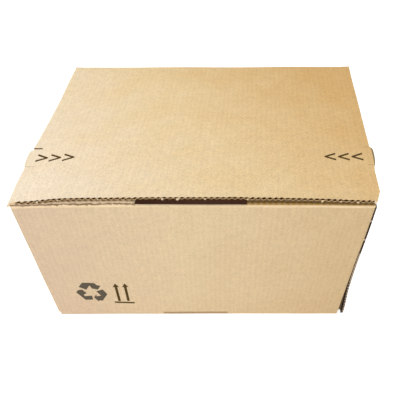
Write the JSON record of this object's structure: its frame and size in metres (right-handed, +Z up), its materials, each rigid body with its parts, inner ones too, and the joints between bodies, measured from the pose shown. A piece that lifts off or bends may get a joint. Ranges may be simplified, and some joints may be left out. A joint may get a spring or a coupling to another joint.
{
  "type": "cardboard box",
  "caption": "Closed corrugated cardboard box with a glued lid, a tear strip with finger tabs, and printed recycling and this-way-up marks on the front.",
  "frame": {"origin": "middle of the box's footprint, on the floor", "axes": "+X along the width to the right of someone facing the printed front, +Y from the front to the hinge side at the back, +Z up"},
  "size_m": [0.419, 0.286, 0.224],
  "materials": {
    "kraft_board": "matte brown kraft paper over corrugated fluting",
    "tape_film": "thin clear-brown tear tape",
    "glue": "dried cream-coloured adhesive",
    "dark_ink": "dark brown printing ink soaked into paper",
    "grey_ink": "grey-brown printing ink soaked into paper"
  },
  "bodies": {
    "root": {"box_blank": "kraft_board", "tear_tape": "tape_film", "closure_adhesive": "glue", "joint_glue": "glue", "base_glue_left": "glue", "base_glue_right": "glue", "tear_chevrons": "dark_ink", "recycling_mark": "grey_ink", "this_way_up_mark": "grey_ink"}
  },
  "joints": []
}
